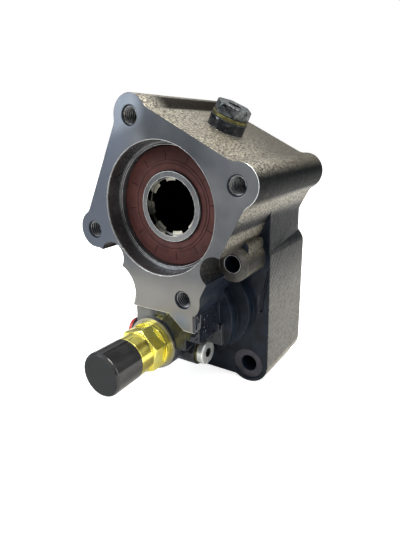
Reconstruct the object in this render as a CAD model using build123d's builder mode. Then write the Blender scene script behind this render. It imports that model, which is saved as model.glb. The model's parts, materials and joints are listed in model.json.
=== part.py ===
# Rear mounted power take off with a direct pump flange.
# Origin: centre of the pump flange on its machined face. The pump end looks along -Y,
# the gearbox end along +Y, and +Z is up. Millimetres.
import os
from math import atan, atan2, cos, degrees, hypot, pi, radians, sin, sqrt

from build123d import *

os.makedirs("parts", exist_ok=True)

# Pump interface: four tapped holes on an 80 mm square, 80 mm pilot, 8x32x36 splined bore
bolt_square = 80.0
flange_turn = 27.8
pilot_radius = 40.0
pilot_depth = 11.0
pilot_chamfer = 0.7
flange_side = 49.5
lobe_radius = 12.5
lobe_blend = 8.0
tap_radius = 5.1
tap_depth = 24.0
tap_chamfer = 0.8

# Casting, measured from the pump face towards the gearbox
body_length = 103.0
plateau_front = 30.0
ledge_front = 37.5
plate_front = 44.0
neck_front_half = 53.8
neck_rear_half = 50.8
neck_blend = 10.0
near_side = 0.1
on_face = 0.01
lobe_rear_round = 3.0
block_half_width = 54.5
block_top = -24.0
block_bottom = -123.0
foot_radius = 15.0
foot_height = -111.0
foot_blend = 5.0
shoulder_round = 10.0

# Column below the pump bore, and the round plateau and ledge behind it
column_top = -40.0
column_bottom = -84.0
column_right_top = 26.0
column_right = 24.8
column_right_bend = -60.0
column_left_top = -21.5
column_left = -26.0
column_left_bend = -56.0
column_left_foot = -68.0
column_blend = 18.0
plateau_z = -77.0
plateau_disc_radius = 34.7
ledge_z = -70.9
ledge_span = 86.8
ledge_height = 65.0
neck_top = -1.0
neck_bottom = -60.0
plate_pocket_depth = 1.2
plate_pocket = [
    (52.8, -41.5),
    (50.2, -54.5),
    (47.1, -59.3),
    (46.5, -66.0),
    (47.4, -72.1),
    (49.8, -70.0),
    (51.0, -58.5),
    (53.0, -48.4),
]
rib_top = -19.5
rib_half_width = 49.0
rib_inner = 40.0
rib_front = 24.5
rib_round = 3.0

# Foot of the pump flange, set back from the machined face
set_back_high = -65.9
set_back_low = -75.4
set_back_bend_start = 5.0
set_back_bend_end = 16.2
set_back_depth = 5.0
set_back_bevel = 1.2

# Rear mount: four through holes on a square about the input axis
mount_spacing_x = 79.0
mount_spacing_z = 79.3
mount_hole_radius = 5.5
mount_chamfer = 0.5
upper_boss_face = 21.5
upper_boss_radius = 11.6
bolt_way_radius = 9.5
lower_boss_face = 45.6
spotface_radius = 11.0

# Gears: centre distance set by the housing, profile shifted to suit
centre_distance = 73.0
output_teeth = 21
input_teeth = 27
gear_front = 60.5
gear_width = 24.0
addendum = 3.0
dedendum = 3.75
pressure_angle = 20.0
backlash = 0.30

# Clearances
seat_clearance = 0.03
running_clearance = 0.05
slide_clearance = 0.05
loose_clearance = 0.25
floor_clearance = 1.5

# Output hub, one piece with its gear
hub_front = 13.4
spline_minor_radius = 16.0
spline_height = 2.0
hub_mouth_step = 0.4
hub_mouth_depth = 4.4
hub_wall = 4.5
hub_shoulder_step = 4.5
hub_tail_radius = 16.0
hub_rear_radius = 12.5
hub_edge = 0.6
spline_slot_width = 6.0
spline_teeth = 8
spline_turn = 29.0
spline_end = 60.0
spline_relief = 4.0

# Front seal, retaining ring and bearing share one bore
seal_front = 14.0
seal_width = 8.0
seal_bevel = 0.9
seal_rim = 3.4
seal_dish_depth = 0.35
seal_dish_slope = 0.3
seal_collar = 5.8
seal_neck = 3.0
seal_neck_step = 0.2
seal_corner = 1.0
seal_web = 3.2
seal_case_wall = 2.2
lip_wall = 1.2
dust_lip_land = 0.5
lip_waist = 2.4
lip_waist_gap = 1.0
main_lip = 4.4
lip_rear = 6.8
spring_seat = 2.5
garter_radius = 0.9
garter_place = 5.3
front_ring_width = 1.75
front_ring_groove = 1.7
front_ring_gap = 9.0
front_ring_ear = 2.4
ear_tuck = 0.4
plier_hole_share = 0.42
front_bearing_section = 15.0
front_bearing_width = 16.0
ball_share = 0.32
race_share = 0.55
cage_share = 0.22
cage_margin = 1.0
front_ball_count = 10
bore_shoulder_step = 2.3
bore_lead = 0.7
bore_lead_depth = 1.3

# Rear bearing of the hub, in a blind seat
rear_bearing_section = 11.0
rear_bearing_width = 12.0
rear_ball_count = 8
rear_wall_front = 88.0

# Cavities
output_cavity_radius = 40.0
sleeve_cavity_front = 42.0
sleeve_cavity_radius = 31.0
input_cavity_front = 58.0
input_cavity_radius = 45.2

# Input shaft
journal_radius = 9.0
front_bush_radius = 12.0
front_bush_front = 33.0
shaft_tooth_root = 12.0
shaft_tooth_tip = 13.5
shaft_tooth_width = 4.0
shaft_teeth = 8
gear_seat_radius = 18.0
gear_bush_radius = 21.0
shaft_shoulder_radius = 22.5
shaft_rear_radius = 20.0
shaft_rear = 101.5
socket_minor_radius = 13.0
socket_major_radius = 15.0
socket_slot_width = 6.0
socket_depth = 34.0
shaft_edge = 0.5
shaft_end_gap = 1.0
shaft_tooth_gap = 0.8
socket_lead = 2.0
thrust_ring_inner = 32.0
thrust_ring_outer = 37.0

# Bearing carrier behind the input gear
carrier_front = 86.0
carrier_width = 14.0
carrier_radius = 46.0
carrier_lip_radius = 27.0
carrier_lip = 2.0
carrier_ring_width = 1.75
carrier_ring_groove = 2.0
carrier_ring_depth = 3.4
carrier_ring_gap = 10.0
carrier_ring_ear = 2.8
o_ring_radius = 1.2
o_ring_room = 1.4
roller_shelf = 2.2
roller_ring_share = 0.5
roller_cage_share = 0.3
roller_cage_margin = 1.2
input_bearing_radius = 31.0
input_roller_radius = 3.2
input_roller_count = 12

# Dog sleeve and shift gear
shift_travel = 6.0
sleeve_front = 43.5
groove_front = 46.0
groove_width = 5.0
groove_radius = 15.5
sleeve_collar_radius = 18.0
sleeve_web_rear = 54.0
sleeve_hub_step = 1.0
sleeve_hub_rear = 53.0
sleeve_rim_radius = 29.0
dog_inner_radius = 23.5
dog_outer_radius = 28.5
dog_length = 6.2
dog_start = 90.0
dog_count = 6
dog_angle = 28.0
dog_side_clearance = 0.35
socket_end_clearance = 0.8
fork_thickness = 4.6
fork_outer_radius = 24.0
fork_boss_radius = 7.6
fork_boss_inset = 0.6
fork_wrap = 168.0
fork_pin_radius = 1.5

# Air cylinder and its switch
actuator_x = -12.3
actuator_z = -92.0
actuator_front = 5.0
actuator_radius = 18.6
actuator_boss_end = 14.0
cylinder_radius = 13.0
cylinder_end = 31.0
rod_radius = 4.0
piston_front = 13.0
piston_width = 8.0
piston_seal_section = 1.6
spring_radius = 8.5
spring_wire_radius = 0.9
spring_turns = 3

# Indicator switch
switch_thread_radius = 13.4
switch_thread_end = 11.0
switch_washer_radius = 18.2
switch_washer_width = 2.0
switch_hex_flats = 28.0
switch_hex_front = -11.5
switch_hex_turn = 17.0
switch_hex_bevel = 1.4
switch_hex_slope = 1.6
switch_collar_radius = 15.8
switch_collar_width = 4.0
switch_body_radius = 13.4
switch_neck_radius = 11.6
cap_rear = -22.5
cap_front = -45.5
cap_radius = 14.2
cap_wall = 1.6
cap_edge = 2.6
cap_edge_bevel = 0.5
cap_gap = 0.4
plunger_radius = 3.0
plunger_length = 12.0
plunger_edge = 1.2
plunger_room = 1.0

# Side plug with a hexagon socket
side_plug_y = 31.0
side_plug_z = -104.5
side_plug_face = 15.0
side_plug_head = 4.6
side_plug_radius = 8.5
side_plug_thread = 5.9
side_plug_length = 10.0
side_plug_socket = 6.0
side_plug_washer_width = 1.5
side_plug_washer_lip = 0.3
side_plug_bevel = 0.6
thread_end_gap = 1.5
side_boss_radius = 10.0
side_plug_socket_depth = 3.5
cross_half_width = 27.7
cross_top = -79.4
cross_bottom = -100.0
cross_front = 28.5

# Air port plug on the other side
port_y = 14.0
port_z = -90.0
port_boss_x = -33.0
port_boss_radius = 9.0
port_plug_radius = 7.0
port_thread = 4.9
port_plug_length = 7.0
port_plug_head = 4.5
port_plug_recess = 3.2
port_plug_bevel = 0.8
port_plug_floor = 1.5

# Fill plug on the slanted top between two lobes
fill_along = -4.0
fill_y = 48.0
fill_boss_radius = 11.9
fill_boss_height = 7.0
fill_washer_radius = 11.6
fill_washer_width = 2.0
fill_plug_length = 12.0
fill_hex_flats = 20.5
fill_head_height = 6.4
fill_thread = 7.4
fill_socket_flats = 8.0
fill_socket_depth = 5.0
fill_hex_turn = 12.0
fill_head_bevel = 0.6
fill_head_taper = 12.0


# Sizes worked out from the ones above
spline_major_radius = spline_minor_radius + spline_height
hub_mouth_radius = spline_major_radius + hub_mouth_step
hub_seal_radius = spline_major_radius + hub_wall
hub_shoulder_radius = hub_seal_radius + hub_shoulder_step
front_bearing_radius = hub_seal_radius + front_bearing_section
front_ball_radius = ball_share * front_bearing_section
bore_shoulder_radius = front_bearing_radius - bore_shoulder_step
rear_bearing_radius = hub_rear_radius + rear_bearing_section
rear_ball_radius = ball_share * rear_bearing_section
input_z = -centre_distance
half_square = bolt_square / 2
upper_mount_z = input_z + mount_spacing_z / 2
lower_mount_z = input_z - mount_spacing_z / 2
mount_x = mount_spacing_x / 2
output_pitch_radius = centre_distance * output_teeth / (output_teeth + input_teeth)
input_pitch_radius = centre_distance * input_teeth / (output_teeth + input_teeth)
gear_rear = gear_front + gear_width
front_ring_front = seal_front + seal_width
front_bearing_front = front_ring_front + front_ring_width
front_bearing_rear = front_bearing_front + front_bearing_width
rear_bearing_front = rear_wall_front
rear_bearing_rear = rear_bearing_front + rear_bearing_width
carrier_rear = carrier_front + carrier_width
input_bearing_rear = carrier_rear - carrier_lip
fork_front = groove_front + (groove_width - fork_thickness) / 2
fork_rear = fork_front + fork_thickness
piston_rear = piston_front + piston_width
side_boss_face = side_plug_face - side_plug_head - side_plug_washer_width


def face_at(y):
    return Plane(origin=(0, y, 0), x_dir=(1, 0, 0), z_dir=(0, -1, 0))


def section_at(x, z):
    return Plane(origin=(x, 0, z), x_dir=(1, 0, 0), z_dir=(0, 0, 1))


def axis_at(x, z):
    return Axis((x, 0, z), (0, 1, 0))


def turned(points, x=0.0, z=0.0, mode=Mode.ADD):
    # A body of revolution about an axis along Y, from (radius, y) points
    with BuildSketch(section_at(x, z)) as half_section:
        with BuildLine():
            Polyline(*points, close=True)
        make_face()
    revolve(half_section.sketch, axis=axis_at(x, z), mode=mode)


def ring(inner, outer, front, rear, x=0.0, z=0.0, mode=Mode.ADD):
    turned([(inner, front), (outer, front), (outer, rear), (inner, rear)], x, z, mode)


def bore(radius, front, rear, x=0.0, z=0.0):
    with BuildSketch(face_at(rear)) as hole:
        with Locations((x, z)):
            Circle(radius)
    extrude(hole.sketch, amount=rear - front, mode=Mode.SUBTRACT)


def mouth(radius, depth, y, x=0.0, z=0.0, towards=1):
    # A chamfer round the mouth of a bore, opening against the given direction
    reach = depth * 2
    turned(
        [
            (radius - depth, y - towards * depth),
            (radius + reach, y - towards * depth),
            (radius + depth, y),
            (radius, y + towards * depth),
            (radius - depth, y + towards * depth),
        ],
        x,
        z,
        Mode.SUBTRACT,
    )


def lobed_square(lobes):
    # The turned square of the pump end with a round lobe at each given bolt
    RectangleRounded(2 * flange_side, 2 * flange_side, lobe_radius, rotation=-flange_turn)
    with Locations(Location((0, 0, 0), (0, 0, -flange_turn))):
        with Locations(*lobes):
            Circle(lobe_radius)


def in_notch(vertex):
    # True for the corners where a lobe meets a straight side
    reach = half_square - sqrt(lobe_radius**2 - (flange_side - half_square) ** 2)
    return abs(hypot(vertex.X, vertex.Y) - hypot(flange_side, reach)) < 0.5


def in_crease(edge):
    # True for the edge where the neck runs into the slanted side between the right lobes
    middle = edge.center()
    off_side = middle.X * cos(radians(flange_turn)) - middle.Z * sin(radians(flange_turn)) - flange_side
    on_neck = neck_rear_half < middle.X < neck_front_half
    return abs(off_side) < near_side and edge.length > plate_front and on_neck


def bolt_places():
    # Centres of the four pump bolts, turned with the flange
    turn = radians(flange_turn)
    for i in (-1, 1):
        for j in (-1, 1):
            yield (
                half_square * (i * cos(turn) + j * sin(turn)),
                half_square * (j * cos(turn) - i * sin(turn)),
            )


def sector(inner, outer, middle, span):
    # Part of a flat ring about the sketch's own origin
    with BuildSketch() as piece:
        with BuildLine():
            outside = CenterArc((0, 0), outer, middle - span / 2, span)
            inside = CenterArc((0, 0), inner, middle - span / 2, span)
            Line(outside @ 0, inside @ 0)
            Line(outside @ 1, inside @ 1)
        make_face()
    return piece.sketch


def splined_hole(minor, major, slot, count, turn=0.0):
    # A round hole with radial slots cut outwards to the major radius
    with BuildSketch() as hole:
        Circle(minor)
        with PolarLocations(0, count, start_angle=turn):
            with Locations((major / 2, 0)):
                Rectangle(major, slot)
        with BuildSketch(mode=Mode.INTERSECT):
            Circle(major)
    return hole.sketch


def gear_outline(teeth, pitch_radius, first):
    # Involute teeth, the first one centred on the given angle
    base_radius = pitch_radius * cos(radians(pressure_angle))
    tip_radius = pitch_radius + addendum
    root_radius = pitch_radius - dedendum
    flank_start = max(base_radius, root_radius)
    flank_radii = [flank_start + (tip_radius - flank_start) * i / 3 for i in range(4)]

    def roll(radius):
        slope = sqrt(max((radius / base_radius) ** 2 - 1, 0))
        return slope - atan(slope)

    def half_angle(radius):
        at_pitch = pi / (2 * teeth) - backlash / (4 * pitch_radius)
        return at_pitch + roll(pitch_radius) - roll(radius)

    def at(radius, angle):
        return (radius * cos(angle), radius * sin(angle))

    with BuildSketch() as outline:
        with BuildLine():
            for tooth in range(teeth):
                middle = radians(first) + 2 * pi * tooth / teeth
                rising = [at(r, middle - half_angle(r)) for r in flank_radii]
                falling = [at(r, middle + half_angle(r)) for r in reversed(flank_radii)]
                root_angle = half_angle(flank_start)
                root_in = at(root_radius, middle - root_angle)
                root_out = at(root_radius, middle + root_angle)
                next_root = at(root_radius, middle + 2 * pi / teeth - root_angle)
                if flank_start > root_radius:
                    Line(root_in, rising[0])
                    Line(falling[-1], root_out)
                Spline(*rising)
                ThreePointArc(rising[-1], at(tip_radius, middle), falling[0])
                Spline(*falling)
                ThreePointArc(root_out, at(root_radius, middle + pi / teeth), next_root)
        make_face()
    return outline.sketch


def raised(sketch, front, rear, x=0.0, z=0.0, mode=Mode.ADD):
    # A flat sketch stood up across the Y axis and given its length
    place = Plane(origin=(x, rear, z), x_dir=(1, 0, 0), z_dir=(0, -1, 0))
    extrude(place.from_local_coords(sketch), amount=rear - front, mode=mode)


def across_flats(flats):
    return flats / 2 / cos(pi / 6)


def export(part, name):
    part.label = name
    export_step(part, f"parts/{name}.step")


# Housing
with BuildPart() as housing:
    # Cast body behind the two upper lobes, full length
    with BuildSketch(face_at(body_length)) as body_outline:
        lobed_square(((-half_square, half_square), (half_square, half_square)))
        fillet([v for v in body_outline.vertices() if in_notch(v)], lobe_blend)
    extrude(amount=body_length)

    # Neck between the pump body and the block, drawn in towards the rear
    with BuildSketch(Plane.XY.offset(neck_bottom)):
        Polygon(
            (-neck_front_half, plate_front),
            (neck_front_half, plate_front),
            (neck_rear_half, body_length),
            (-neck_rear_half, body_length),
            align=None,
        )
    extrude(amount=neck_top - neck_bottom)
    creases = [e for e in housing.edges().filter_by(GeomType.LINE) if in_crease(e)]
    fillet(creases, neck_blend)
    fillet(housing.faces().sort_by(Axis.Y)[-1].edges(), lobe_rear_round)

    # Pump flange with all four lobes
    with BuildSketch(face_at(plateau_front)) as flange_outline:
        lobed_square([(i * half_square, j * half_square) for i in (-1, 1) for j in (-1, 1)])
        fillet([v for v in flange_outline.vertices() if in_notch(v)], lobe_blend)
    extrude(amount=plateau_front)

    # Column below the pump bore, blended into the flange and widening downwards
    with BuildSketch(face_at(plateau_front)):
        Polygon(
            (column_left_top, column_top),
            (column_left_top, column_left_bend),
            (column_left, column_left_foot),
            (column_left, column_bottom),
            (column_right, column_bottom),
            (column_right, column_right_bend),
            (column_right_top, column_top),
            align=None,
        )
    extrude(amount=plateau_front)
    slope = radians(flange_turn)
    blend_z = -(flange_side + column_left_top * sin(slope)) / cos(slope)
    blend_at = Vector(column_left_top, plateau_front / 2, blend_z)
    column_corner = [e for e in housing.edges() if (e.center() - blend_at).length < 0.5]
    fillet(column_corner, column_blend)

    # Round plateau and wider ledge that carry the column on the block
    with BuildSketch(face_at(plate_front)):
        with Locations((0, plateau_z)):
            Circle(plateau_disc_radius)
    extrude(amount=plate_front - plateau_front)
    with BuildSketch(face_at(plate_front)):
        with Locations((0, ledge_z)):
            SlotOverall(ledge_span, ledge_height)
    extrude(amount=plate_front - ledge_front)

    # Block behind the mounting plate, on two rounded feet
    with BuildSketch(face_at(body_length)) as block_outline:
        with Locations((0, (block_top + foot_height) / 2)):
            Rectangle(2 * block_half_width, block_top - foot_height)
        with Locations((0, (block_top + block_bottom) / 2)):
            Rectangle(2 * (block_half_width - foot_radius), block_top - block_bottom)
        foot_reach = block_half_width - foot_radius
        with Locations((foot_reach, foot_height), (-foot_reach, foot_height)):
            Circle(foot_radius)
        fillet(block_outline.vertices().group_by(Axis.Y)[-1], shoulder_round)
        fillet([v for v in block_outline.vertices() if abs(v.Y - block_bottom) < 0.1], foot_blend)
    extrude(amount=body_length - plate_front)

    # Shallow pockets on the mounting plate
    with BuildSketch(face_at(plate_front)):
        Polygon(*plate_pocket, align=None)
        Polygon(*[(-x, z) for x, z in plate_pocket], align=None)
    extrude(amount=-plate_pocket_depth, mode=Mode.SUBTRACT)

    # Long bosses of the two upper mounting bolts
    with BuildSketch(face_at(plate_front)):
        with Locations((mount_x, upper_mount_z), (-mount_x, upper_mount_z)):
            Circle(upper_boss_radius)
    extrude(amount=plate_front - upper_boss_face)

    # Flat sided rib on the outer side of each long boss
    with BuildSketch(face_at(plate_front)) as ribs:
        for side in (-1, 1):
            with Locations((side * (rib_half_width + rib_inner) / 2, (rib_top + upper_mount_z) / 2)):
                Rectangle(rib_half_width - rib_inner, rib_top - upper_mount_z)
        tops = ribs.vertices().group_by(Axis.Y)[-1]
        fillet([v for v in tops if abs(v.X) > rib_inner + rib_round], rib_round)
    extrude(amount=plate_front - rib_front)

    # Air cylinder boss and the bosses that cross it
    with BuildSketch(face_at(plate_front)):
        with Locations((actuator_x, actuator_z)):
            Circle(actuator_radius)
        with Locations(((column_left + actuator_boss_end) / 2, (set_back_high + actuator_z) / 2)):
            Rectangle(actuator_boss_end - column_left, set_back_high - actuator_z)
    extrude(amount=plate_front - actuator_front)
    with BuildSketch(face_at(plate_front)):
        with Locations((0, (cross_top + cross_bottom) / 2)):
            Rectangle(2 * cross_half_width, cross_top - cross_bottom)
    extrude(amount=plate_front - cross_front)
    with BuildSketch(Plane.YZ.offset(side_boss_face)):
        with Locations((side_plug_y, side_plug_z)):
            Circle(side_boss_radius)
    extrude(amount=actuator_x - side_boss_face)
    with BuildSketch(Plane.YZ.offset(port_boss_x)):
        with Locations((port_y, port_z)):
            Circle(port_boss_radius)
    extrude(amount=actuator_x - port_boss_x)

    # Fill boss on the slanted side between the upper lobes
    slant = radians(90 - flange_turn)
    slant_normal = Vector(cos(slant), 0, sin(slant))
    slant_along = Vector(sin(slant), 0, -cos(slant))
    fill_foot = slant_normal * flange_side + slant_along * fill_along + Vector(0, fill_y, 0)
    fill_plane = Plane(origin=fill_foot, x_dir=slant_along, z_dir=slant_normal)
    with BuildSketch(fill_plane.offset(-floor_clearance)):
        Circle(fill_boss_radius)
    extrude(amount=fill_boss_height + floor_clearance)

    # Ways for the upper mounting bolts, cut through the flange
    for side in (-1, 1):
        bore(bolt_way_radius, 0, upper_boss_face, side * mount_x, upper_mount_z)
        bore(mount_hole_radius, upper_boss_face, body_length, side * mount_x, upper_mount_z)
        bore(spotface_radius, plate_front, lower_boss_face, side * mount_x, lower_mount_z)
        bore(mount_hole_radius, lower_boss_face, body_length, side * mount_x, lower_mount_z)
        mouth(mount_hole_radius, mount_chamfer, upper_boss_face, side * mount_x, upper_mount_z)
        mouth(mount_hole_radius, mount_chamfer, lower_boss_face, side * mount_x, lower_mount_z)

    # Foot of the flange set back round the switch, with a bevel
    with BuildSketch(face_at(actuator_front)):
        Polygon(
            (-half_square, set_back_high),
            (set_back_bend_start, set_back_high),
            (set_back_bend_end, set_back_low),
            (half_square, set_back_low),
            (half_square, block_bottom),
            (-half_square, block_bottom),
            align=None,
        )
    extrude(amount=set_back_depth, mode=Mode.SUBTRACT)
    face_lines = housing.edges().filter_by(GeomType.LINE).filter_by_position(
        Axis.Z, column_bottom, column_right_bend
    )
    foot_lines = [e for e in face_lines if abs(e.center().Y) < on_face]
    chamfer(foot_lines, set_back_bevel)

    # Pump bore, seal and bearing seats, hub cavity and rear bearing seat
    bore(pilot_radius, 0, pilot_depth)
    mouth(pilot_radius, pilot_chamfer, 0)
    turned(
        [
            (0, pilot_depth - floor_clearance),
            (front_bearing_radius + bore_lead, pilot_depth - floor_clearance),
            (front_bearing_radius + bore_lead, pilot_depth),
            (front_bearing_radius, pilot_depth + bore_lead_depth),
            (front_bearing_radius, front_bearing_rear),
            (bore_shoulder_radius, front_bearing_rear),
            (bore_shoulder_radius, plate_front),
            (output_cavity_radius, plate_front),
            (output_cavity_radius, rear_wall_front),
            (rear_bearing_radius, rear_wall_front),
            (rear_bearing_radius, rear_bearing_rear),
            (0, rear_bearing_rear),
        ],
        mode=Mode.SUBTRACT,
    )
    bore(front_bearing_radius + front_ring_groove, front_ring_front, front_bearing_front)

    # Input bores: front bush, sleeve, gear, carrier and its retaining ring
    bore(front_bush_radius, front_bush_front, sleeve_cavity_front, z=input_z)
    bore(sleeve_cavity_radius, sleeve_cavity_front, input_cavity_front, z=input_z)
    bore(input_cavity_radius, input_cavity_front, carrier_front, z=input_z)
    bore(carrier_radius, carrier_front, body_length, z=input_z)
    bore(carrier_radius + carrier_ring_groove, carrier_rear, carrier_rear + carrier_ring_width, z=input_z)

    # Air cylinder, rod hole and air port
    bore(cylinder_radius, actuator_front, cylinder_end, actuator_x, actuator_z)
    bore(switch_thread_radius, actuator_front, switch_thread_end, actuator_x, actuator_z)
    bore(rod_radius + slide_clearance, cylinder_end, sleeve_cavity_front, actuator_x, actuator_z)
    with BuildSketch(Plane.YZ.offset(port_boss_x)):
        with Locations((port_y, port_z)):
            Circle(port_thread)
    extrude(amount=actuator_x - port_boss_x, mode=Mode.SUBTRACT)
    with BuildSketch(Plane.YZ.offset(side_boss_face)):
        with Locations((side_plug_y, side_plug_z)):
            Circle(side_plug_thread)
    extrude(amount=-side_plug_length, mode=Mode.SUBTRACT)
    with BuildSketch(Plane.YZ.offset(side_boss_face)):
        with Locations((side_plug_y, side_plug_z)):
            Circle(side_boss_radius)
    extrude(amount=cross_half_width, mode=Mode.SUBTRACT)

    # Fill hole into the hub cavity
    with BuildSketch(fill_plane.offset(fill_boss_height)):
        Circle(fill_thread)
    extrude(amount=-fill_boss_height - 2 * (flange_side - output_cavity_radius), mode=Mode.SUBTRACT)

    # Tapped holes of the pump flange
    for x, z in bolt_places():
        bore(tap_radius, 0, tap_depth, x, z)
        mouth(tap_radius, tap_chamfer, 0, x, z)
export(housing.part, "housing")


# Output hub and its gear: splined bore, seal and bearing seats, shoulder, teeth
hub_rear = rear_bearing_rear - loose_clearance
with BuildPart() as output_hub:
    turned(
        [
            (0, spline_end + spline_relief),
            (hub_mouth_radius, spline_end + spline_relief),
            (hub_mouth_radius, spline_end),
            (spline_minor_radius, spline_end),
            (spline_minor_radius, hub_front + hub_mouth_depth),
            (hub_mouth_radius, hub_front + hub_mouth_depth),
            (hub_mouth_radius, hub_front),
            (hub_seal_radius - hub_edge, hub_front),
            (hub_seal_radius, hub_front + hub_edge),
            (hub_seal_radius, front_bearing_rear),
            (hub_shoulder_radius, front_bearing_rear),
            (hub_shoulder_radius, gear_rear),
            (hub_tail_radius, gear_rear),
            (hub_tail_radius, rear_bearing_front),
            (hub_rear_radius, rear_bearing_front),
            (hub_rear_radius, hub_rear - hub_edge),
            (hub_rear_radius - hub_edge, hub_rear),
            (0, hub_rear),
        ]
    )
    raised(gear_outline(output_teeth, output_pitch_radius, -90), gear_front, gear_rear)
    spline_slots = splined_hole(
        spline_minor_radius, spline_major_radius, spline_slot_width, spline_teeth, spline_turn
    )
    raised(spline_slots, hub_front, spline_end + spline_relief, mode=Mode.SUBTRACT)
export(output_hub.part, "output_hub")


# Front seal: rubber covered ring with a sprung lip and a dust lip, open at the back
seal_rear = seal_front + seal_width
lip_radius = hub_seal_radius + running_clearance
spring_seat_radius = hub_seal_radius + spring_seat
with BuildPart() as front_seal:
    turned(
        [
            (front_bearing_radius - seal_bevel, seal_front),
            (front_bearing_radius - seal_rim, seal_front),
            (front_bearing_radius - seal_rim - seal_dish_slope, seal_front + seal_dish_depth),
            (hub_seal_radius + seal_collar + seal_dish_slope, seal_front + seal_dish_depth),
            (hub_seal_radius + seal_collar, seal_front),
            (hub_seal_radius + seal_neck, seal_front + seal_neck_step),
            (hub_seal_radius + lip_wall, seal_front + seal_bevel),
            (lip_radius, seal_front + seal_corner),
            (lip_radius, seal_front + seal_corner + dust_lip_land),
            (hub_seal_radius + lip_waist_gap, seal_front + lip_waist),
            (lip_radius, seal_front + main_lip),
            (hub_seal_radius + lip_wall, seal_front + lip_rear),
            (spring_seat_radius, seal_front + lip_rear),
            (spring_seat_radius, seal_front + seal_web),
            (front_bearing_radius - seal_case_wall, seal_front + seal_web),
            (front_bearing_radius - seal_case_wall, seal_rear),
            (front_bearing_radius - seat_clearance, seal_rear),
            (front_bearing_radius - seat_clearance, seal_front + seal_corner),
        ]
    )
export(front_seal.part, "front_seal")

with BuildPart() as garter_spring:
    with BuildSketch(section_at(0, 0)):
        with Locations((spring_seat_radius + garter_radius + seat_clearance, seal_front + garter_place)):
            Circle(garter_radius)
    revolve(axis=axis_at(0, 0))
export(garter_spring.part, "garter_spring")


def snap_ring(inner, outer, ear_radius, gap, front, rear, x=0.0, z=0.0):
    # Internal retaining ring, open at the bottom, with an ear and a plier hole at each end
    with BuildSketch() as flat:
        Circle(outer)
        Circle(inner, mode=Mode.SUBTRACT)
        with Locations((0, -outer)):
            Rectangle(gap, 2 * (outer - inner) + gap, mode=Mode.SUBTRACT)
        ear_reach = inner + ear_radius * ear_tuck
        ear_x = gap / 2 + ear_radius
        with Locations(*[(side * ear_x, -sqrt(ear_reach**2 - ear_x**2)) for side in (-1, 1)]):
            Circle(ear_radius)
            Circle(ear_radius * plier_hole_share, mode=Mode.SUBTRACT)
    with BuildPart() as piece:
        raised(flat.sketch, front, rear, x, z)
    return piece.part


# Retaining ring in front of the hub's front bearing
export(
    snap_ring(
        bore_shoulder_radius,
        front_bearing_radius + front_ring_groove - seat_clearance,
        front_ring_ear,
        front_ring_gap,
        front_ring_front,
        front_bearing_front,
    ),
    "front_retaining_ring",
)


def ball_bearing(name, inner, outer, front, width, ball_radius, count):
    middle = (inner + outer) / 2
    race_height = race_share * ball_radius
    cage_height = cage_share * ball_radius
    cage_width = 2 * (ball_radius + cage_margin)
    ball_plane = face_at(front + width / 2)

    with BuildSketch(section_at(0, 0)) as race:
        with Locations((middle, front + width / 2)):
            Circle(ball_radius + running_clearance)
    with BuildPart() as outer_ring:
        ring(middle + race_height, outer - seat_clearance, front, front + width)
        revolve(race.sketch, axis=axis_at(0, 0), mode=Mode.SUBTRACT)
    export(outer_ring.part, f"{name}_bearing_outer_ring")
    with BuildPart() as inner_ring:
        ring(inner + seat_clearance, middle - race_height, front, front + width)
        revolve(race.sketch, axis=axis_at(0, 0), mode=Mode.SUBTRACT)
    export(inner_ring.part, f"{name}_bearing_inner_ring")
    with BuildPart(ball_plane) as balls:
        with PolarLocations(middle, count):
            Sphere(ball_radius)
    export(balls.part, f"{name}_bearing_balls")
    with BuildPart(ball_plane) as cage:
        ring(
            middle - cage_height,
            middle + cage_height,
            front + (width - cage_width) / 2,
            front + (width + cage_width) / 2,
        )
        with PolarLocations(middle, count):
            Cylinder(ball_radius + 2 * running_clearance, inner, rotation=(0, 90, 0), mode=Mode.SUBTRACT)
    export(cage.part, f"{name}_bearing_cage")


# Ball bearings of the hub
ball_bearing(
    "front",
    hub_seal_radius,
    front_bearing_radius,
    front_bearing_front,
    front_bearing_width,
    front_ball_radius,
    front_ball_count,
)
ball_bearing(
    "rear",
    hub_rear_radius,
    rear_bearing_radius,
    rear_bearing_front,
    rear_bearing_width,
    rear_ball_radius,
    rear_ball_count,
)

# Input shaft: front journal, sleeve teeth, gear seat, shoulder, rear journal, splined socket
socket_front = shaft_rear - socket_depth
with BuildPart() as input_shaft:
    turned(
        [
            (0, front_bush_front + shaft_end_gap),
            (journal_radius - shaft_edge, front_bush_front + shaft_end_gap),
            (journal_radius, front_bush_front + shaft_end_gap + shaft_edge),
            (journal_radius, sleeve_cavity_front + shaft_tooth_gap),
            (shaft_tooth_root, sleeve_cavity_front + shaft_tooth_gap),
            (shaft_tooth_root, gear_front),
            (gear_seat_radius, gear_front),
            (gear_seat_radius, gear_rear + loose_clearance),
            (shaft_shoulder_radius, gear_rear + loose_clearance),
            (shaft_shoulder_radius, carrier_front),
            (shaft_rear_radius, carrier_front),
            (shaft_rear_radius, shaft_rear - shaft_edge),
            (shaft_rear_radius - shaft_edge, shaft_rear),
            (socket_major_radius, shaft_rear),
            (socket_minor_radius, shaft_rear - socket_lead),
            (socket_minor_radius, socket_front),
            (0, socket_front),
        ],
        z=input_z,
    )
    with BuildSketch() as shaft_splines:
        Circle(shaft_tooth_root)
        with PolarLocations(0, shaft_teeth):
            with Locations((shaft_tooth_tip / 2, 0)):
                Rectangle(shaft_tooth_tip, shaft_tooth_width)
        with BuildSketch(mode=Mode.INTERSECT):
            Circle(shaft_tooth_tip)
    raised(shaft_splines.sketch, sleeve_cavity_front + shaft_tooth_gap, gear_front, z=input_z)
    shaft_slots = splined_hole(socket_minor_radius, socket_major_radius, socket_slot_width, spline_teeth)
    raised(shaft_slots, socket_front, shaft_rear, z=input_z, mode=Mode.SUBTRACT)
export(input_shaft.part, "input_shaft")

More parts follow.
